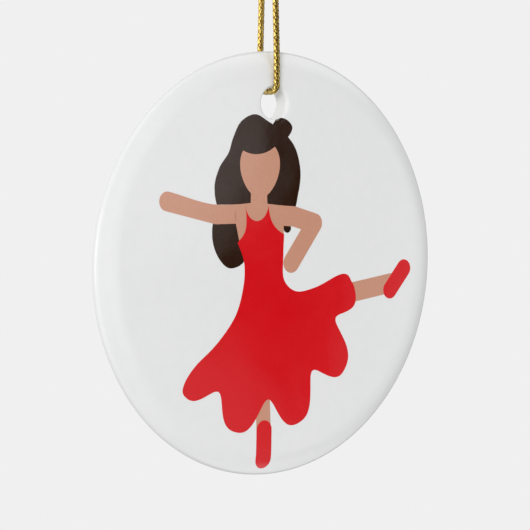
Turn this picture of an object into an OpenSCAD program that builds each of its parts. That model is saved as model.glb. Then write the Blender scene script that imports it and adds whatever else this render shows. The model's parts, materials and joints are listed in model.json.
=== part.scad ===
// Round porcelain hanging ornament: a pillow-edged glazed disc with a printed dancer, on a knotted gold cord.
// Millimetres. The origin is the inside top of the cord's loop, where a hook bears. +Z is up, -Y is the front.

/* [Disc] */
// Diameter of the porcelain disc; the print grows with it
disc_d = 73; // [68:1:80]
// Thickness of the disc away from its rim
disc_t = 3.4; // [3:0.1:4]
// Width of the rim's rounding, measured along a radius
rim_w = 4.5; // [3:0.1:5.5]
// Radius of the small round at the very edge
edge_r = 1; // [0.6:0.1:1.4]

/* [Hanging hole] */
// Diameter of the hole
hole_d = 5.4; // [4.5:0.1:6]
// Distance from the hole's centre to the disc's edge
hole_edge = 8.9; // [8.5:0.1:10]
// Radius of the glaze-softened lip at each mouth
lip_r = 0.6; // [0.3:0.1:0.8]

/* [Cord] */
// Diameter of the braided cord
cord_d = 1.1; // [0.8:0.1:1.4]
// Length of the loop from the hook's bearing point down to the disc's top edge
loop_h = 21.5; // [21:0.5:30]
// Gap between the cord and the porcelain
cord_gap = 0.05; // [0.03:0.01:0.1]
// Radius of the cord's centreline where it turns over a lip
bend_r = 1.3; // [1.2:0.05:1.4]

/* [Print] */
// Thickness of the printed colour film
film_t = 0.06; // [0.04:0.01:0.2]

/* [Hidden] */
$fn = 48;

white = "#f2f3f2";
red = "#d01820";
brown = "#3b271c";
tan_skin = "#c18d76";
gold = "#c79a2b";

disc_r = disc_d / 2;
half_t = disc_t / 2;
hang_h = disc_r + loop_h; // height of the origin above the disc's centre
hole_h = disc_r - hole_edge; // height of the hole's centre above the disc's centre
hole_r = hole_d / 2;
cord_r = cord_d / 2;
art = disc_d / 73; // the print is drawn for a 73 mm disc

// Rim: a large arc that leaves the flat face without a corner and runs into the small edge arc.
flat_r = disc_r - rim_w;
rim_r = (pow(rim_w - edge_r, 2) + half_t * half_t - edge_r * edge_r) / (2 * (half_t - edge_r));
rim_a = atan2(rim_w - edge_r, rim_r - half_t); // how far the large arc turns

// Cord: it hugs both faces above the hole and passes under the hole's top wall.
strand_y = half_t + cord_gap + cord_r;
saddle_z = hole_h + hole_r + lip_r - bend_r - hang_h; // height of the cord's centreline in the hole
bend_top = saddle_z + bend_r;

// A strand's route from the hole to the knot: the two spread from side by side, 0, to the disc's faces, 1.
touch_y = cord_r + 0.05;
spread = [
    [1, bend_top], [1, -24], [0.97, -21], [0.88, -17], [0.79, -13], [0.7, -10],
    [0.64, -7], [0.56, -4.5], [0.47, -3], [0.32, -2], [0.14, -1], [0, 0]
];
strand_route = [for (p = spread) [touch_y + (strand_y - touch_y) * p.x, p.y]];

// Knot: a barrel that the strands enter side by side from below and the tails leave above.
knot_h = 4.2;
knot_mouth_r = 2 * cord_r + 0.4;
knot_r = 1.4 * knot_mouth_r;

// A tail's route as [distance from the knot's axis, height], from the knot's top to the cut end.
tail_route = [
    for (p = [[0, knot_h], [0.1, 5], [0.5, 6.3], [1.2, 7.7], [2.1, 9], [3.1, 10.1]]) [touch_y + p.x, p.y]
];

// ---------- Outlines ----------

function spoke(a) = [cos(a), sin(a)];
function arc(c, r, from, to, n) = [for (i = [0:n]) c + r * spoke(from + (to - from) * i / n)];
function reverse(p) = [for (i = [len(p) - 1:-1:0]) p[i]];
function unit(v) = v / norm(v);
function left_of(v) = [-v.y, v.x];
function heading(v) = atan2(v.y, v.x);
function turn(a, b) = a.x * b.y - a.y * b.x;

// The point at t, from 0 to 1, of the smooth curve through b and c, with a before them and d after them.
function between(a, b, c, d, t) =
    (2 * b + (c - a) * t + (2 * a - 5 * b + 4 * c - d) * t * t + (3 * b - a - 3 * c + d) * t * t * t) / 2;
// A closed smooth curve through the points, n steps between each two.
function smooth(p, n = 6) = let (m = len(p)) [
    for (i = [0:m - 1], k = [0:n - 1])
        between(p[(i + m - 1) % m], p[i], p[(i + 1) % m], p[(i + 2) % m], k / n)
];
// An open one, which starts at the first point and ends one step before the last.
function smooth_open(p, n = 6) = let (m = len(p)) [
    for (i = [0:m - 2], k = [0:n - 1])
        between(p[max(i - 1, 0)], p[i], p[i + 1], p[min(i + 2, m - 1)], k / n)
];
// A Bezier curve from a to d, without its last point.
function bezier(a, b, c, d, n = 10) = [
    for (k = [0:n - 1]) let (t = k / n, u = 1 - t)
        u * u * u * a + 3 * u * u * t * b + 3 * u * t * t * c + t * t * t * d
];

// The left side of a stroke of half-width r where it turns from direction d to direction e.
function join_side(p, d, e, r) =
    turn(d, e) < 0
        ? arc(p, r, heading(left_of(d)), heading(left_of(d)) - acos(d * e), 6)
        : [p + r * (left_of(d) + left_of(e)) / (1 + d * e)];
function left_side(p, r) = [
    for (i = [1:1:len(p) - 2]) each join_side(p[i], unit(p[i] - p[i - 1]), unit(p[i + 1] - p[i]), r)
];
function cap(p, from, r) = let (a = heading(p - from)) arc(p, r, a + 90, a - 90, 14);
// A stroke of half-width r along the points, with round ends and joins.
function stroke(p, r) = let (m = len(p), q = reverse(p)) concat(
    left_side(p, r), cap(p[m - 1], p[m - 2], r), left_side(q, r), cap(p[0], p[1], r)
);

// ---------- Disc ----------

// Half of the disc's section as [radius, height], swollen by grow.
function rim_side(grow) = concat(
    arc([flat_r, half_t - rim_r], rim_r + grow, 90, 90 - rim_a, 8),
    [for (i = [1:6]) [disc_r - edge_r, 0] + (edge_r + grow) * spoke((90 - rim_a) * (1 - i / 6))]
);

module disc_body(grow) {
    side = rim_side(grow);
    under = [for (i = [len(side) - 2:-1:0]) [side[i].x, -side[i].y]];
    rotate([90, 0, 0])
        rotate_extrude()
            polygon(concat([[0, half_t + grow]], side, under, [[0, -half_t - grow]]));
}

// The hole: a straight wall that flares over a rounded lip at both mouths, narrowed by grow.
module hole_cutter(grow) {
    lip = arc([hole_r + lip_r, half_t - lip_r], lip_r + grow, 180, 90, 6);
    past = half_t + 1;
    side = concat(lip, [[hole_r + lip_r, past]]);
    under = [for (p = reverse(side)) [p.x, -p.y]];
    rotate([90, 0, 0])
        rotate_extrude()
            polygon(concat([[0, past]], reverse(side), reverse(under), [[0, -past]]));
}

// The pierced disc about its own centre, with every face moved outwards by grow.
module glazed_body(grow = 0) {
    difference() {
        disc_body(grow);
        translate([0, 0, hole_h]) hole_cutter(grow);
    }
}

module porcelain_disc() {
    color(white)
        translate([0, 0, -hang_h]) glazed_body();
}

// ---------- Printed shapes, drawn from the disc's centre as [right, up] ----------

module hair_shape() {
    polygon(art * smooth([
        [-4.2, 25.7], [-1.2, 24.4], [2, 22.6], [4.6, 19.8], [5.7, 15.8], [5.2, 12], [3.8, 8.6], [-1, 7],
        [-8, 7.4], [-11.8, 9.4], [-12.9, 13.2], [-11.9, 16.6], [-9.9, 19.2], [-8.9, 21.8], [-7.2, 24.5]
    ]));
}

module top_knot_shape() {
    polygon(art * smooth([[-0.6, 23.4], [0.7, 25], [2.6, 24.8], [3.9, 23.4], [2.6, 21.6], [0, 21.4]]));
}

module back_lock_shape() {
    polygon(art * smooth([
        [-9.7, -0.4], [-12.3, 1.8], [-13.4, 5.2], [-12.6, 8.6], [-9, 9.4], [-6.6, 6], [-6.4, 1]
    ]));
}

module side_lock_shape() {
    polygon(art * stroke([[2.8, 9], [2.8, 6.1]], 0.8));
}

// An egg, wider above, cut by the round hairline.
module face_shape() {
    egg = [for (a = [0:9:351]) [-3.15 + 4.25 * cos(a) * (1 + 0.18 * sin(a)), 16.4 + 5 * sin(a)]];
    difference() {
        polygon(art * egg);
        polygon([for (a = [0:9:351]) art * [-3.9 + 6.6 * cos(a), 25.2 + 6.3 * sin(a)]]);
    }
}

module neck_and_chest_shape() {
    polygon(art * [
        [-8.4, 10.4], [-5.2, 10.6], [-5.1, 13.5], [-1.7, 13.5], [-1.6, 10.4], [2, 10],
        [2, 3.5], [-7.5, 3.5], [-8.4, 7.2]
    ]);
}

module raised_arm_shape() {
    polygon(art * stroke([[-22.7, 11.2], [-12.5, 8.8], [-5, 8.8]], 1.65));
}

module bent_arm_shape() {
    polygon(art * stroke([[-1, 8.5], [4.2, 8.1], [8.8, 6.8], [3.7, 0.1]], 1.75));
}

// Bodice and skirt in one outline, from the left strap across the neckline and on round the hem.
module dress_shape() {
    left_strap = [-6.4, 10.3];
    right_strap = [-1.3, 10.1];
    right_seam = [2.1, 5.1];
    left_seam = [-8, 3.9];
    left_armhole = [-7.5, 4.4];
    right_hip = [13, -2.9];
    left_tip = [-16.2, -16];
    polygon(art * concat(
        bezier(left_strap, [-5.7, 6.6], [-2, 6.6], right_strap),
        bezier(right_strap, [-1.1, 7.2], [0.2, 5.9], right_seam),
        smooth_open([right_seam, [1.9, 1], [2.1, -2.8], [4.8, -4.9], [9, -4.4], right_hip]),
        bezier(right_hip, [15, -2.1], [16.5, -1.8], hem[0]),
        hem,
        bezier(hem[len(hem) - 1], [-20.3, -20.4], [-18.6, -17.9], left_tip),
        smooth_open([left_tip, [-12.2, -12.9], [-8.5, -8.6], [-6.8, -3.8], [-6.6, 0.4], left_seam]),
        [left_seam],
        bezier(left_armhole, [-5.9, 5.6], [-5.9, 7.6], left_strap)
    ));
}

// The hem: rounded lobes with narrower notches, swung round the waist from the kicked hip to the left tip.
waist = [-1, -3];
hip_a = -8; // direction of the first lobe
swing = 127; // angle from there to the fifth lobe, over which the lobes draw a little closer
function lobes_passed(d) = d * (0.0275 + 0.00003 * d);
function lobe(x) = cos(x) - 0.2 * cos(2 * x) + 0.2;
function hem_r(d) =
    17.2 + 6.7 * sin(100 * d / swing) + (2.2 + 0.9 * sin(180 * d / swing)) * lobe(360 * lobes_passed(d));
hem = [for (d = [-6.5:1.5:swing]) waist + hem_r(d) * spoke(hip_a - d)];

module standing_leg_shape() {
    polygon(art * [[-4.2, -22], [-3.9, -30], [-0.8, -30], [-1.1, -22]]);
}

module kicking_leg_shape() {
    polygon(art * stroke([[14, -6.1], [26.6, -4.3]], 1.75));
}

module standing_shoe_shape() {
    polygon(art * stroke([[-2.3, -28.5], [-2.4, -33.6]], 1.65));
}

module kicking_shoe_shape() {
    polygon(art * stroke([[29.5, -1.8], [26.3, -5.5]], 1.6));
}

// The hole's mouth, at whose lip the print stops.
module mouth_shape() {
    translate([0, hole_h]) circle(hole_r + lip_r / 4);
}

// Colour film on the flat of the front face.
module flat_film(colour) {
    color(colour)
        translate([0, -half_t, -hang_h])
            rotate([90, 0, 0])
                linear_extrude(film_t) children();
}

// Colour film that follows the front over the rim's or the hole's rounding.
module wrapped_film(colour) {
    color(colour)
        translate([0, 0, -hang_h])
            intersection() {
                translate([0, -half_t / 2, 0])
                    rotate([90, 0, 0])
                        linear_extrude(half_t) children();
                difference() {
                    glazed_body(film_t);
                    glazed_body();
                }
            }
}

module print_hair() {
    wrapped_film(brown)
        difference() {
            hair_shape();
            mouth_shape();
            top_knot_shape();
            face_shape();
            neck_and_chest_shape();
            raised_arm_shape();
            bent_arm_shape();
        }
}

module print_top_knot() {
    wrapped_film(brown)
        difference() {
            top_knot_shape();
            mouth_shape();
        }
}

module print_back_lock() {
    flat_film(brown)
        difference() {
            back_lock_shape();
            raised_arm_shape();
            neck_and_chest_shape();
            dress_shape();
        }
}

module print_side_lock() {
    flat_film(brown)
        difference() {
            side_lock_shape();
            neck_and_chest_shape();
            bent_arm_shape();
        }
}

module print_face() { flat_film(tan_skin) face_shape(); }

module print_neck_and_chest() {
    flat_film(tan_skin)
        difference() {
            neck_and_chest_shape();
            face_shape();
            dress_shape();
        }
}

module print_raised_arm() {
    flat_film(tan_skin)
        difference() {
            raised_arm_shape();
            neck_and_chest_shape();
        }
}

module print_bent_arm() {
    flat_film(tan_skin)
        difference() {
            bent_arm_shape();
            neck_and_chest_shape();
        }
}

module print_dress() { flat_film(red) dress_shape(); }

module print_standing_leg() {
    flat_film(tan_skin)
        difference() {
            standing_leg_shape();
            dress_shape();
            standing_shoe_shape();
        }
}

module print_kicking_leg() {
    flat_film(tan_skin)
        difference() {
            kicking_leg_shape();
            dress_shape();
            kicking_shoe_shape();
        }
}

module print_standing_shoe() { wrapped_film(red) standing_shoe_shape(); }

module print_kicking_shoe() { flat_film(red) kicking_shoe_shape(); }

// ---------- Cord ----------

sides = 8; // faces round the plain tube

// One ring square to the route, which lies in a plane whose normal is across.
function ring(p, along, across) = let (out = cross(along, across)) [
    for (k = [0:sides - 1]) let (s = spoke(360 * (k + 0.5) / sides)) p + cord_r * (s.x * across + s.y * out)
];

// A plain tube along the points, closed at both ends, whose end faces look along start and finish.
module tube(p, across, start, finish) {
    m = len(p);
    rings = [for (i = [0:m - 1]) each ring(
        p[i],
        i == 0 ? start : i == m - 1 ? finish : unit(unit(p[i] - p[i - 1]) + unit(p[i + 1] - p[i])),
        across
    )];
    wall = [for (i = [0:m - 2], k = [0:sides - 1]) let (a = i * sides + k, b = i * sides + (k + 1) % sides)
        [a, a + sides, b + sides, b]];
    near_end = [for (k = [0:sides - 1]) k];
    far_end = [for (k = [sides - 1:-1:0]) (m - 1) * sides + k];
    polyhedron(rings, concat(wall, [near_end, far_end]), convexity = 4);
}

module strand(side) {
    color(gold)
        tube([for (p = strand_route) [0, side * p.x, p.y]], [1, 0, 0], [0, 0, 1], [0, 0, 1]);
}

module cord_front_strand() { strand(-1); }

module cord_rear_strand() { strand(1); }

// The bend through the hole: down over the front lip, under the hole's top wall and up over the rear lip.
module cord_saddle() {
    middle = strand_y - bend_r;
    front = arc([-middle, bend_top], bend_r, 180, 270, 5);
    rear = arc([middle, bend_top], bend_r, 270, 360, 5);
    route = [for (p = concat(front, [[0, saddle_z]], rear)) [0, p.x, p.y]];
    color(gold)
        tube(route, [1, 0, 0], [0, 0, -1], [0, 0, 1]);
}

module cord_knot() {
    bulge = [for (i = [0:8]) [
        knot_mouth_r + (knot_r - knot_mouth_r) * sin(180 * i / 8),
        knot_h * i / 8
    ]];
    color(gold)
        rotate_extrude()
            polygon(concat([[0, 0]], bulge, [[0, knot_h]]));
}

module tail(side) {
    color(gold)
        tube([for (p = tail_route) [side * p.x, 0, p.y]], [0, 1, 0], [0, 0, 1], unit([side, 0, 1]));
}

module cord_tail_left() { tail(-1); }

module cord_tail_right() { tail(1); }

porcelain_disc();
print_hair();
print_top_knot();
print_back_lock();
print_side_lock();
print_face();
print_neck_and_chest();
print_raised_arm();
print_bent_arm();
print_dress();
print_standing_leg();
print_kicking_leg();
print_standing_shoe();
print_kicking_shoe();
cord_front_strand();
cord_rear_strand();
cord_saddle();
cord_knot();
cord_tail_left();
cord_tail_right();
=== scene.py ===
import json
import math

import bpy
import numpy as np
from mathutils import Matrix, Vector
from mathutils.geometry import delaunay_2d_cdt


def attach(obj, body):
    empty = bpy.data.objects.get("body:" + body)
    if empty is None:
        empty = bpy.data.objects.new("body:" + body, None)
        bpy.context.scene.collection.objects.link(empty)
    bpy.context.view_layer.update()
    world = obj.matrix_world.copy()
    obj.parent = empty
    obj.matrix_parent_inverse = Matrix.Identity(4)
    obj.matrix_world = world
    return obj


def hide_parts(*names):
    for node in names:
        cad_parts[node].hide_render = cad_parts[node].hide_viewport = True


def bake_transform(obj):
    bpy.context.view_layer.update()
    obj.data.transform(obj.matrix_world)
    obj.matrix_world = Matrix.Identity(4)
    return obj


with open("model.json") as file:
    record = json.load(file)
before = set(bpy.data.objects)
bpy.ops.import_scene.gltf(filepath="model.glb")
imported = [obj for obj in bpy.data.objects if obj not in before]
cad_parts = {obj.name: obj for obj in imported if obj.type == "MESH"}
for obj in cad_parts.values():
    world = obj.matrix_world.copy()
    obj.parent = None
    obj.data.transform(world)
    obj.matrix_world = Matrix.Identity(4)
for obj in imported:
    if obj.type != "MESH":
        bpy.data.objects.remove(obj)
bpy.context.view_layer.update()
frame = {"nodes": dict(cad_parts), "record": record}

MM = 0.001
TAU = 2 * math.pi

# Sizes in millimetres, as in the CAD source. The origin is the inside top of the cord's loop.
DISC_R, HALF_T = 36.5, 1.7
RIM_W, EDGE_R = 4.5, 1.0  # width of the rim's rounding, and radius of its outermost edge
HOLE_R, LIP_R, HOLE_H = 2.7, 0.6, 27.6  # the hole's middle is HOLE_H above the disc's centre
HANG_H = 58.0  # from the disc's centre up to the origin
CORD_D, BEND_R, KNOT_H = 1.1, 1.3, 4.2
CLEAR = 0.05  # between a strand and the disc's face, and between a strand and the middle plane at the knot

STRAND_Y = HALF_T + CLEAR + CORD_D / 2
TOUCH_Y = CORD_D / 2 + CLEAR
SADDLE_Z = HOLE_H + HOLE_R + LIP_R - BEND_R - HANG_H
BEND_TOP = SADDLE_Z + BEND_R
FLAT_R = DISC_R - RIM_W
RIM_R = ((RIM_W - EDGE_R) ** 2 + HALF_T**2 - EDGE_R**2) / (2 * (HALF_T - EDGE_R))
RIM_A = math.atan2(RIM_W - EDGE_R, RIM_R - HALF_T)

# How far apart the strands stand at each height: 1 at the faces of the disc, 0 side by side at the knot.
SPREAD = [
    (1, -24), (0.97, -21), (0.88, -17), (0.79, -13), (0.7, -10),
    (0.64, -7), (0.56, -4.5), (0.47, -3), (0.32, -2), (0.14, -1), (0, 0),
]
# A tail above the knot: how far out, and how high.
TAIL = [(0, KNOT_H), (0.1, 5), (0.5, 6.3), (1.2, 7.7), (2.1, 9), (3.1, 10.1)]

scene = bpy.context.scene
scene.view_settings.view_transform = "Standard"
scene.view_settings.look = "None"


# ---------- Helpers ----------

def direction(azimuth, elevation=0.0):
    """Unit vector towards an azimuth, 0 at the front and 90 at the right, and an elevation, in degrees."""
    a, e = math.radians(azimuth), math.radians(elevation)
    return Vector((math.sin(a) * math.cos(e), -math.cos(a) * math.cos(e), math.sin(e)))


def mesh_object(name, verts, faces, material, smooth=True):
    mesh = bpy.data.meshes.new(name)
    mesh.from_pydata([tuple(v) for v in verts], [], faces)
    mesh.validate()
    mesh.update()
    mesh.materials.append(material)
    if smooth:
        mesh.polygons.foreach_set("use_smooth", [True] * len(mesh.polygons))
    obj = bpy.data.objects.new(name, mesh)
    scene.collection.objects.link(obj)
    return obj


def distances(line):
    """How far along the line each of its points is."""
    return np.concatenate([[0], np.cumsum(np.linalg.norm(np.diff(line, axis=0), axis=1))])


def resample(line, step):
    """The line again, with its points at about that step."""
    along = distances(line)
    at = np.linspace(0, along[-1], int(math.ceil(along[-1] / step)) + 1)
    return np.stack([np.interp(at, along, line[:, k]) for k in range(3)], axis=1)


def smooth_path(points, step):
    """Catmull-Rom curve through the points, resampled at about that step."""
    p = np.array(points, float)
    p = np.vstack([2 * p[0] - p[1], p, 2 * p[-1] - p[-2]])
    line = []
    for a, b, c, d in zip(p[:-3], p[1:-2], p[2:-1], p[3:]):
        square, cube = 2 * a - 5 * b + 4 * c - d, 3 * b - a - 3 * c + d
        for t in np.linspace(0, 1, 24, endpoint=False):
            line.append((2 * b + (c - a) * t + square * t**2 + cube * t**3) / 2)
    line.append(p[-2])
    return resample(np.array(line), step)


def unit(vectors):
    return vectors / np.linalg.norm(vectors, axis=1)[:, None]


def frames_along(line, start):
    """Tangents and two normals carried along the line without twist, the first normal starting near start."""
    tangent = unit(np.gradient(line, axis=0))
    normal = np.zeros_like(line)
    n = np.array(start, float)
    for i, t in enumerate(tangent):
        n = n - t * (n @ t)
        n /= np.linalg.norm(n)
        normal[i] = n
    return tangent, normal, np.cross(tangent, normal)


def border(faces):
    """The directed edges that belong to one face only."""
    edges = {}
    for face in faces:
        for a, b in zip(face, face[1:] + face[:1]):
            if a != b and edges.pop((b, a), None) is None:
                edges[(a, b)] = True
    return edges


# ---------- Camera ----------

CAMERA_AZ, CAMERA_EL = -38.10, 3.28
CAMERA_DISTANCE, CAMERA_RIGHT, CAMERA_UP = 418.8, -0.594, -0.249  # from the disc's centre

camera_data = bpy.data.cameras.new("camera")
camera_data.sensor_width = 36.0
camera_data.lens = 164.85
camera_data.clip_start, camera_data.clip_end = 0.01, 20.0
camera = bpy.data.objects.new("camera", camera_data)
scene.collection.objects.link(camera)
scene.camera = camera
back = direction(CAMERA_AZ, CAMERA_EL)
right = Vector((math.cos(math.radians(CAMERA_AZ)), math.sin(math.radians(CAMERA_AZ)), 0))
up = back.cross(right)
disc_centre = Vector((0, 0, -HANG_H)) * MM
camera_at = disc_centre + (back * CAMERA_DISTANCE + right * CAMERA_RIGHT + up * CAMERA_UP) * MM
camera.matrix_world = Matrix.Translation(camera_at) @ Matrix((right, up, back)).transposed().to_4x4()


# ---------- Materials ----------

class Nodes:
    """A small helper that builds one node material."""

    def __init__(self, name):
        self.material = bpy.data.materials.new(name)
        self.material.use_nodes = True
        self.tree = self.material.node_tree
        self.shader = self.tree.nodes["Principled BSDF"]
        self.place = self.add("ShaderNodeTexCoord").outputs["Object"]

    def add(self, kind, inputs=None, **settings):
        node = self.tree.nodes.new(kind)
        for key, value in settings.items():
            setattr(node, key, value)
        for key, value in (inputs or {}).items():
            self.put(node.inputs[key], value)
        return node

    def put(self, socket, value):
        if isinstance(value, bpy.types.NodeSocket):
            self.tree.links.new(value, socket)
        else:
            socket.default_value = value

    def noise(self, scale, detail=2.0, roughness=0.5):
        inputs = {"Vector": self.place, "Scale": scale, "Detail": detail, "Roughness": roughness}
        return self.add("ShaderNodeTexNoise", inputs).outputs["Fac"]

    def ramp(self, value, stops):
        node = self.add("ShaderNodeValToRGB", {"Fac": value})
        ramp = node.color_ramp
        while len(ramp.elements) < len(stops):
            ramp.elements.new(0.5)
        for element, (at, colour) in zip(ramp.elements, stops):
            element.position = at
            element.color = (*colour, 1)
        return node.outputs["Color"]

    def span(self, value, low, high, out_low, out_high):
        inputs = {"Value": value, "From Min": low, "From Max": high, "To Min": out_low, "To Max": out_high}
        return self.add("ShaderNodeMapRange", inputs).outputs["Result"]

    def math(self, operation, a, b):
        return self.add("ShaderNodeMath", {0: a, 1: b}, operation=operation).outputs[0]

    def bump(self, height, distance, strength, normal=None):
        inputs = {"Height": height, "Distance": distance, "Strength": strength}
        if normal:
            inputs["Normal"] = normal
        return self.add("ShaderNodeBump", inputs).outputs["Normal"]

    def set(self, **values):
        for key, value in values.items():
            self.put(self.shader.inputs[key.replace("_", " ")], value)


def glazed(name, low, high, mottle_scale, ior):
    """Gloss glaze over a colour that varies finely between low and high."""
    m = Nodes(name)
    mottle = m.math("MULTIPLY", m.noise(mottle_scale, 3.0, 0.6), 0.6)
    cloud = m.math("MULTIPLY", m.noise(60.0, 1.0), 0.4)
    m.set(Base_Color=m.ramp(m.math("ADD", mottle, cloud), [(0.36, low), (0.64, high)]))
    waves = m.bump(m.noise(110.0, 1.0), 0.00006, 0.5)
    peel = m.bump(m.noise(900.0, 2.0), 0.000004, 0.5, waves)
    m.set(Roughness=m.span(m.noise(300.0, 2.0), 0.3, 0.7, 0.06, 0.09), Normal=peel)
    m.shader.inputs["IOR"].default_value = ior
    return m.material


PORCELAIN = glazed("porcelain_glaze", (0.835, 0.845, 0.84), (0.855, 0.862, 0.858), 500.0, 1.42)
INKS = {
    "red_print": glazed("print_red", (0.69, 0.004, 0.009), (0.73, 0.007, 0.013), 2600.0, 1.6),
    "brown_print": glazed("print_brown", (0.024, 0.0085, 0.0035), (0.033, 0.013, 0.006), 2600.0, 1.6),
    "tan_print": glazed("print_tan", (0.605, 0.30, 0.20), (0.64, 0.32, 0.22), 2600.0, 1.6),
}


def gold_braid():
    """Metal-wrapped yarn: tarnished and pale patches under a clear coat."""
    m = Nodes("gold_braid")
    tarnished, yellow, pale = (0.45, 0.28, 0.035), (0.69, 0.48, 0.09), (0.84, 0.66, 0.21)
    m.set(Base_Color=m.ramp(m.noise(700.0), [(0.3, tarnished), (0.55, yellow), (0.8, pale)]))
    m.shader.inputs["Metallic"].default_value = 1.0
    m.set(Roughness=m.span(m.noise(2200.0), 0.3, 0.7, 0.16, 0.34))
    m.set(Normal=m.bump(m.noise(3600.0, 1.0), 0.00001, 0.5))
    m.shader.inputs["Coat Weight"].default_value = 1.0
    m.shader.inputs["Coat Roughness"].default_value = 0.15
    return m.material


GOLD = gold_braid()


# ---------- Cord ----------

STEP = 0.085  # millimetres between the rings of a yarn
PITCH = 2.3  # millimetres along the cord for one turn of a yarn
YARNS = [(1, 0.0), (1, 0.5), (-1, 0.0), (-1, 0.5)]  # which way each yarn winds, and its phase in turns
YARN_W, YARN_T = 0.35, 0.115  # half-width and half-thickness of a flattened yarn
YARN_R, YARN_WAVE = 0.35, 0.118  # a yarn's distance from the cord's axis, and how far it goes over and under
FILAMENTS, FILAMENT_RIDGE = 5, 0.05
SECTION_POINTS, SECTION_POWER = 28, 0.45  # a lower power makes a yarn's section more square
COLUMN = math.radians(-7)  # azimuth of one column of crossings
FRAY, FRAY_LENGTH, FRAY_UNEVEN = 0.14, 1.3, 0.12  # how the yarns open out at a cut end, and end unevenly


def yarn_section():
    """Outline of a flattened yarn, whose filaments show as ridges: (across, out) from -1 to 1."""
    points = []
    for k in range(SECTION_POINTS):
        a = TAU * k / SECTION_POINTS
        u, v = math.cos(a), math.sin(a)
        flat = math.copysign(abs(v) ** SECTION_POWER, v)
        ridge = 1 + FILAMENT_RIDGE * (abs(math.sin(FILAMENTS * math.pi * (u + 1) / 2)) - 0.5)
        points.append((u, flat * ridge))
    return points


SECTION = yarn_section()


def yarn(line, along, normals, tangent, number, phase, frayed):
    """Points of one yarn of the braid, a ring of SECTION for each point of the line."""
    hand, offset = YARNS[number]
    angle = TAU * (hand * along / PITCH + offset)
    radius = YARN_R + hand * YARN_WAVE * np.cos(2 * angle)
    a = angle + COLUMN + phase
    out = np.cos(a)[:, None] * normals[0] + np.sin(a)[:, None] * normals[1]
    if frayed:
        near_end = np.clip(1 - (along[-1] - along) / FRAY_LENGTH, 0, 1) ** 2
        radius = radius + FRAY * near_end
        uneven = FRAY_UNEVEN * math.sin(2.3 * number + 1)
        line = line + tangent * (uneven * near_end)[:, None]
    centre = line + radius[:, None] * out
    ahead = unit(np.gradient(centre, axis=0))
    out = unit(out - ahead * np.sum(out * ahead, axis=1)[:, None])
    side = np.cross(ahead, out)
    return [
        (c + s * (u * YARN_W) + o * (v * YARN_T)) * MM
        for c, s, o in zip(centre, side, out)
        for u, v in SECTION
    ]


def braid(name, line, along, start_normal, phase=0.0, frayed=False):
    """A round braid of four flattened yarns along a line. along is each point's distance on the cord."""
    tangent, *normals = frames_along(line, start_normal)
    verts, faces = [], []
    rings, n = len(line), len(SECTION)
    for number in range(len(YARNS)):
        base = len(verts)
        verts += yarn(line, along, normals, tangent, number, phase, frayed)
        for i in range(rings - 1):
            for k in range(n):
                p, q = base + i * n + k, base + i * n + (k + 1) % n
                faces.append((p, q, q + n, p + n))
        faces.append(tuple(base + k for k in range(n))[::-1])
        faces.append(tuple(base + (rings - 1) * n + k for k in range(n)))
    return mesh_object(name, verts, faces, GOLD)


def strand_line(side):
    """From the middle of the hole round the bend and up one face, into the knot."""
    middle = STRAND_Y - BEND_R
    flat = [(middle * t, SADDLE_Z) for t in (0, 0.35, 0.7)]
    bend = [
        (middle + BEND_R * math.sin(a), BEND_TOP - BEND_R * math.cos(a))
        for a in np.linspace(0, math.pi / 2, 13)
    ]
    rise = [(TOUCH_Y + (STRAND_Y - TOUCH_Y) * s, z) for s, z in SPREAD]
    points = flat + bend + rise + [(TOUCH_Y, 1.0), (TOUCH_Y, 2.1)]
    line = smooth_path([(0.0, side * y, z) for y, z in points], STEP)
    return resample(line, STEP)  # once more, for even steps along the chords of the bend


front_half, rear_half = strand_line(-1), strand_line(1)
whole = np.vstack([front_half[::-1], rear_half[1:]])
whole_along = distances(whole) - distances(front_half)[-1]
whole_normal = frames_along(whole, (1, 0, 0))[1]
split = len(front_half) - 1


def part_of_cord(name, first, last):
    """One half of the cord, with the winding that the whole cord has there, and its route in metres."""
    piece = braid(name, whole[first:last], whole_along[first:last], whole_normal[first])
    return piece, whole[first:last] * MM


cord_front, front_path = part_of_cord("cord_front", 0, split + 1)
cord_rear, rear_path = part_of_cord("cord_rear", split, len(whole))

COIL_TURNS, COIL_PITCH, COIL_R, COIL_Z = 2.75, 1.13, 1.56, 0.56
COIL_START = -0.6  # angle of the first turn's beginning, in radians
TUCK_TURNS, TUCK_RISE, TUCK_R = 0.16, 0.3, 0.75  # each end goes on under the turns and comes in to TUCK_R


def coil_line():
    """The knot's turns round both strands: one end of the cord wound into a barrel."""
    points = []
    for t in np.linspace(-TUCK_TURNS, COIL_TURNS + TUCK_TURNS, 150):
        out = min(1.0, max(0.0, (min(t, COIL_TURNS - t) + TUCK_TURNS) / TUCK_RISE))
        r = TUCK_R + (COIL_R - TUCK_R) * out * out * (3 - 2 * out)
        a = TAU * t + COIL_START
        points.append((r * math.cos(a), r * math.sin(a), COIL_Z + COIL_PITCH * min(max(t, 0), COIL_TURNS)))
    return smooth_path(points, STEP)


def tail(name, side):
    """A short cut end that comes out of the knot's top."""
    points = [(side * TOUCH_Y * 0.9, 0, 2.2), (side * TOUCH_Y * 0.95, 0, 3.2)]
    points += [(side * (TOUCH_Y + x), 0, z) for x, z in TAIL]
    line = smooth_path(points, STEP)
    return braid(name, line, distances(line), (0, 1, 0), phase=0.4 + side, frayed=True)


coil = coil_line()
knot = braid("knot", coil, distances(coil), (0, 0, 1), phase=0.9)
tail_left = tail("tail_left", -1)
tail_right = tail("tail_right", 1)

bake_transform(cord_front)
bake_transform(cord_rear)
for piece in (knot, tail_left, tail_right):
    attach(piece, "cord_top")
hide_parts("cord_front_strand", "cord_saddle")
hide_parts("cord_rear_strand")
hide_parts("cord_knot")
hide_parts("cord_tail_left")
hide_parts("cord_tail_right")


# ---------- Porcelain disc ----------

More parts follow.
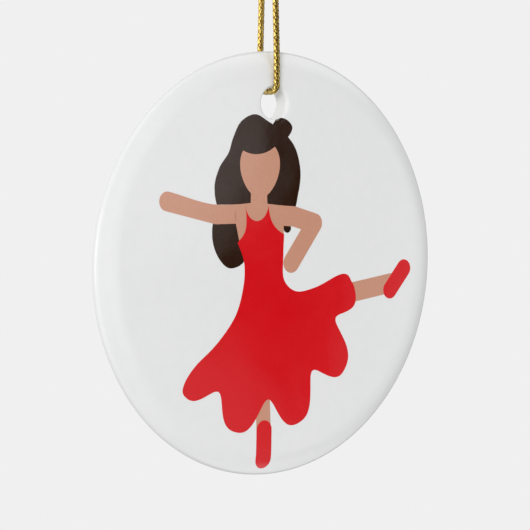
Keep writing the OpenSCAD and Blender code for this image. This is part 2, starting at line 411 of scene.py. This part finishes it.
RAYS = 480
LIP_RINGS, FACE_RINGS, RIM_RINGS, EDGE_RINGS = 11, 16, 15, 13


def front_height(x, z):
    """How far the front face stands out from the disc's middle plane, at a place measured from its centre."""
    r = math.hypot(x, z)
    h = math.hypot(x, z - HOLE_H)
    if r > FLAT_R + RIM_R * math.sin(RIM_A):
        return math.sqrt(max(EDGE_R**2 - (r - (DISC_R - EDGE_R)) ** 2, 0))
    if r > FLAT_R:
        return HALF_T - RIM_R + math.sqrt(RIM_R**2 - (r - FLAT_R) ** 2)
    if h < HOLE_R + LIP_R:
        return HALF_T - LIP_R + math.sqrt(max(LIP_R**2 - (HOLE_R + LIP_R - h) ** 2, 0))
    return HALF_T


def disc_rings():
    """Rings of (x, z) points with their height, from the hole's wall over the front face to the rim's edge,
    and back over the rear face. Their points lie on rays from the hole's centre to the rim."""
    theta = np.linspace(0, TAU, RAYS, endpoint=False)
    hole = np.array([0, HOLE_H])
    heading = unit(np.stack([np.cos(theta), np.sin(theta)], 1) * DISC_R - hole)

    def at_radius(r):
        b = heading @ hole
        t = -b + np.sqrt(b * b - (hole @ hole - r * r))
        return hole + heading * t[:, None]

    rings = [(hole + heading * HOLE_R, 0.0), (hole + heading * HOLE_R, (HALF_T - LIP_R) / 2)]
    for a in np.linspace(0, math.pi / 2, LIP_RINGS):
        r = HOLE_R + LIP_R - LIP_R * math.cos(a)
        rings.append((hole + heading * r, HALF_T - LIP_R + LIP_R * math.sin(a)))
    inner, outer = rings[-1][0], at_radius(FLAT_R)
    for t in np.linspace(0, 1, FACE_RINGS)[1:-1] ** 1.4:
        rings.append((inner + (outer - inner) * t, HALF_T))
    for a in np.linspace(0, RIM_A, RIM_RINGS):
        rings.append((at_radius(FLAT_R + RIM_R * math.sin(a)), HALF_T - RIM_R + RIM_R * math.cos(a)))
    for a in np.linspace(math.pi / 2 - RIM_A, 0, EDGE_RINGS)[1:]:
        rings.append((at_radius(DISC_R - EDGE_R + EDGE_R * math.cos(a)), EDGE_R * math.sin(a)))
    return rings + [(plan, -y) for plan, y in rings[-2:0:-1]]


def porcelain():
    rings = disc_rings()
    verts = [(x * MM, -y * MM, (z - HANG_H) * MM) for plan, y in rings for x, z in plan]
    faces = []
    for i in range(len(rings)):
        j = (i + 1) % len(rings)
        for k in range(RAYS):
            n = (k + 1) % RAYS
            faces.append((i * RAYS + k, j * RAYS + k, j * RAYS + n, i * RAYS + n))
    return mesh_object("porcelain", verts, faces, PORCELAIN)


disc = porcelain()
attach(disc, "disc")
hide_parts("porcelain_disc")


# ---------- Print ----------

INK = 0.022  # how far the ink stands above the glaze
SINK = 0.05  # how far its edge goes below the glaze
EDGE_STEP, INNER_STEP = 0.5, 0.7  # spacing of the points on a sheet's outline and inside it
LIP_EDGE_STEP, LIP_INNER_STEP = 0.12, 0.11  # the same where the sheet bends over the hole's lip
CORNER_TURN, LEAST_TURN = 0.4, 0.02  # sines of the turn at a corner, and of the least one that is made round
LIP_MARGIN = 0.1  # how far outside the lip the finer spacing starts
SLIVER = 8  # a loop with no more points than this is left out


def outline_loops(node):
    """The front outline of a printed CAD node, as loops of (x, z) from the disc's centre."""
    mesh = frame["nodes"][node].data
    point = [(round(v.co.x / MM, 4), round(v.co.z / MM + HANG_H, 4)) for v in mesh.vertices]
    front = [
        face for face in mesh.polygons
        if face.normal.y <= -0.15 and max(mesh.vertices[i].co.y for i in face.vertices) <= -1.0 * MM
    ]
    follow = {}
    for a, b in border([[point[i] for i in face.vertices] for face in front]):
        follow.setdefault(a, []).append(b)
    loops = []
    while follow:
        start = next(iter(follow))
        loop, here = [start], start
        while here in follow:
            there = follow[here].pop()
            if not follow[here]:
                del follow[here]
            if there == start:
                break
            loop.append(there)
            here = there
        if len(loop) > SLIVER:
            loops.append(loop)
    return loops


def at_lip(x, z):
    return math.hypot(x, z - HOLE_H) < HOLE_R + LIP_R + LIP_MARGIN


def fine(loop):
    """The loop with long edges split, more finely on the hole's lip, and its arcs made round.
    Each edge becomes a cubic curve, which leaves a corner in the edge's own direction."""
    p = np.array(loop)
    to_next = np.roll(p, -1, 0) - p
    reach = np.linalg.norm(to_next, axis=1)
    heading = to_next / reach[:, None]
    before = np.roll(heading, 1, 0)
    reach_before = np.roll(reach, 1)
    turn = np.abs(before[:, 0] * heading[:, 1] - before[:, 1] * heading[:, 0])
    uneven = np.maximum(reach, reach_before) / np.minimum(reach, reach_before)
    smooth = (turn < CORNER_TURN) & (np.sum(before * heading, axis=1) > 0) & (uneven < 3)
    slope = unit(before * reach[:, None] + heading * reach_before[:, None])
    out = []
    for i in range(len(p)):
        j = (i + 1) % len(p)
        lip = at_lip(*p[i]) or at_lip(*p[j])
        leave = (slope[i] if smooth[i] else heading[i]) * reach[i]
        arrive = (slope[j] if smooth[j] else heading[i]) * reach[i]
        bent = (smooth[i] or smooth[j]) and max(turn[i], turn[j]) > LEAST_TURN
        n = max(4 if bent and not lip else 1, math.ceil(reach[i] / (LIP_EDGE_STEP if lip else EDGE_STEP)))
        for t in np.arange(n) / n:
            start = p[i] * (1 + 2 * t) * (1 - t) ** 2 + leave * t * (1 - t) ** 2
            end = p[j] * t * t * (3 - 2 * t) + arrive * t * t * (t - 1)
            out.append(tuple(start + end))
    return out


def inner_points(outline):
    """Staggered points over a sheet, clear of its outline, and closer together on the hole's lip."""
    (x0, z0), (x1, z1) = outline.min(axis=0), outline.max(axis=0)
    points = []
    for step, lip in ((INNER_STEP, False), (LIP_INNER_STEP, True)):
        for i, x in enumerate(np.arange(x0 + step / 2, x1, step)):
            for z in np.arange(z0 + step / 2 * (1 + i % 2), z1, step):
                clear = np.min(np.hypot(outline[:, 0] - x, outline[:, 1] - z)) > 0.45 * step
                if at_lip(x, z) == lip and clear:
                    points.append(Vector((x, z)))
    return points


def printed(node, material):
    """A thin sheet of ink over the glaze, with a wall at its edge that goes down into it."""
    outline, edges = [], []
    for loop in outline_loops(node):
        loop = [Vector(p) for p in fine(loop)]
        base = len(outline)
        outline += loop
        edges += [(base + i, base + (i + 1) % len(loop)) for i in range(len(loop))]
    made = delaunay_2d_cdt(outline + inner_points(np.array(outline)), edges, [], 1, 1e-5)
    points, faces = made[0], [tuple(f) for f in made[2]]
    top = [(p.x, p.y, front_height(p.x, p.y) + INK) for p in points]
    low = [(x, z, y - INK - SINK) for x, z, y in top]
    verts = [(x * MM, -y * MM, (z - HANG_H) * MM) for x, z, y in top + low]
    count = len(top)
    rim = border(faces)
    walls = [(b, a, a + count, b + count) for a, b in rim]
    bottoms = [tuple(i + count for i in face[::-1]) for face in faces]
    piece = mesh_object(node.replace("print_", "ink_"), verts, faces + walls + bottoms, material)
    for edge in piece.data.edges:
        a, b = edge.vertices
        edge.use_edge_sharp = (a, b) in rim or (b, a) in rim
    return piece


slots = {part["node"]: part["material_slot"] for part in frame["record"]["subparts"]}
for node in sorted(n for n in frame["nodes"] if n.startswith("print_")):
    ink = printed(node, INKS[slots[node]])
    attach(ink, "disc")
    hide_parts(node)


# ---------- Floor, backdrop and light ----------

PALE = 0.8714  # linear value of the studio's light grey
FLOOR_Z, FLOOR_R = -0.40, 0.9  # metres
LAMP_DISTANCE = 2.4  # metres
AMBIENT = 0.57

# Soft lamps for matt light: name, azimuth, elevation, size in metres, and level on white that faces the lamp.
LAMPS = [
    ("key", -50, 14, 0.8, 0.49),
    ("side", -88, 5, 0.8, 0.01),
    ("fill_front", 30, 5, 1.2, 0.05),
    ("back", 168, 18, 0.8, 0.34),
]
# Soft patches that gloss reflects: azimuth, elevation, inner and outer radius in degrees, and strength.
PANELS = [
    (14, 3, 4, 22, 0.9),
    (34.6, 0.4, 2.4, 4.2, 0.85),
    (25, -18, 15.5, 18.2, 0.4),
    (55, -8, 13, 16, 0.5),
    (60, 42, 12, 30, 1.8),
    (60, -48, 12, 30, 1.4),
    (-84, 6, 6, 22, 3.6),
    (-92, 0, 20, 52, 0.7),
    (-40, 75, 5, 40, 0.8),
    (180, 10, 5, 60, 0.8),
    (-142, 0, 60, 140, 0.45),
]


def emitter(name, strength):
    """A material that glows white."""
    material = bpy.data.materials.new(name)
    material.use_nodes = True
    tree = material.node_tree
    tree.nodes.clear()
    glow = tree.nodes.new("ShaderNodeEmission")
    glow.inputs["Color"].default_value = (1, 1, 1, 1)
    glow.inputs["Strength"].default_value = strength
    out = tree.nodes.new("ShaderNodeOutputMaterial")
    tree.links.new(glow.outputs[0], out.inputs["Surface"])
    return material


def surround(name, radius, rows, columns, middle, material, seen_by):
    """A sphere round the object that only one kind of ray sees."""
    verts, faces = [], []
    for i in range(rows + 1):
        elevation = -90 + 180 * i / rows
        verts += [direction(360 * k / columns, elevation) * radius for k in range(columns)]
    for i in range(rows):
        for k in range(columns):
            n = (k + 1) % columns
            faces.append((i * columns + k, (i + 1) * columns + k, (i + 1) * columns + n, i * columns + n))
    obj = mesh_object(name, verts, faces, material)
    obj.location = middle
    for ray in ("camera", "diffuse", "glossy", "transmission", "volume_scatter", "shadow"):
        setattr(obj, "visible_" + ray, ray == seen_by)


def floor():
    """A plain pale disc, far below the hanging object."""
    verts = [
        (FLOOR_R * math.cos(a), FLOOR_R * math.sin(a), FLOOR_Z)
        for a in np.linspace(0, TAU, 96, endpoint=False)
    ]
    obj = mesh_object("floor", verts, [tuple(range(len(verts)))], emitter("floor_pale", PALE), smooth=False)
    obj.visible_glossy = False
    obj.visible_diffuse = False


def ambient():
    """Even light from all round, for matt surfaces only."""
    world = bpy.data.worlds.new("studio")
    scene.world = world
    world.use_nodes = True
    background = world.node_tree.nodes["Background"]
    background.inputs["Color"].default_value = (1, 1, 1, 1)
    background.inputs["Strength"].default_value = AMBIENT
    world.cycles_visibility.glossy = False
    world.cycles_visibility.camera = False


def lamp(name, azimuth, elevation, size, level):
    """A soft lamp that gloss and the camera don't see."""
    data = bpy.data.lights.new(name, "AREA")
    data.shape = "DISK"
    data.size = size
    data.energy = level * math.pi**2 * LAMP_DISTANCE**2
    obj = bpy.data.objects.new(name, data)
    scene.collection.objects.link(obj)
    towards = direction(azimuth, elevation)
    obj.location = disc_centre + towards * LAMP_DISTANCE
    obj.rotation_mode = "QUATERNION"
    obj.rotation_quaternion = towards.to_track_quat("Z", "Y")
    obj.visible_camera = False
    obj.visible_glossy = False


def reflected_light():
    """An emitter whose strength is the sum of the soft panels, each found by its angle from its middle."""
    material = emitter("studio_reflections", 0.0)
    material.cycles.emission_sampling = "NONE"
    tree = material.node_tree
    outward = tree.nodes.new("ShaderNodeVectorMath")
    outward.operation = "NORMALIZE"
    tree.links.new(tree.nodes.new("ShaderNodeTexCoord").outputs["Object"], outward.inputs[0])
    total = None
    for azimuth, elevation, inner, outer, strength in PANELS:
        dot = tree.nodes.new("ShaderNodeVectorMath")
        dot.operation = "DOT_PRODUCT"
        tree.links.new(outward.outputs[0], dot.inputs[0])
        dot.inputs[1].default_value = direction(azimuth, elevation)
        panel = tree.nodes.new("ShaderNodeMapRange")
        panel.interpolation_type = "SMOOTHSTEP"
        tree.links.new(dot.outputs["Value"], panel.inputs["Value"])
        panel.inputs["From Min"].default_value = math.cos(math.radians(outer))
        panel.inputs["From Max"].default_value = math.cos(math.radians(inner))
        panel.inputs["To Max"].default_value = strength
        if total is None:
            total = panel.outputs["Result"]
        else:
            both = tree.nodes.new("ShaderNodeMath")
            tree.links.new(total, both.inputs[0])
            tree.links.new(panel.outputs["Result"], both.inputs[1])
            total = both.outputs[0]
    glow = next(n for n in tree.nodes if n.type == "EMISSION")
    tree.links.new(total, glow.inputs["Strength"])
    return material


surround("backdrop", 2.5, 24, 48, (0, 0, 0), emitter("backdrop_pale", PALE), "camera")
ambient()
for settings in LAMPS:
    lamp(*settings)
surround("reflections", 2.0, 32, 64, disc_centre, reflected_light(), "glossy")
floor()
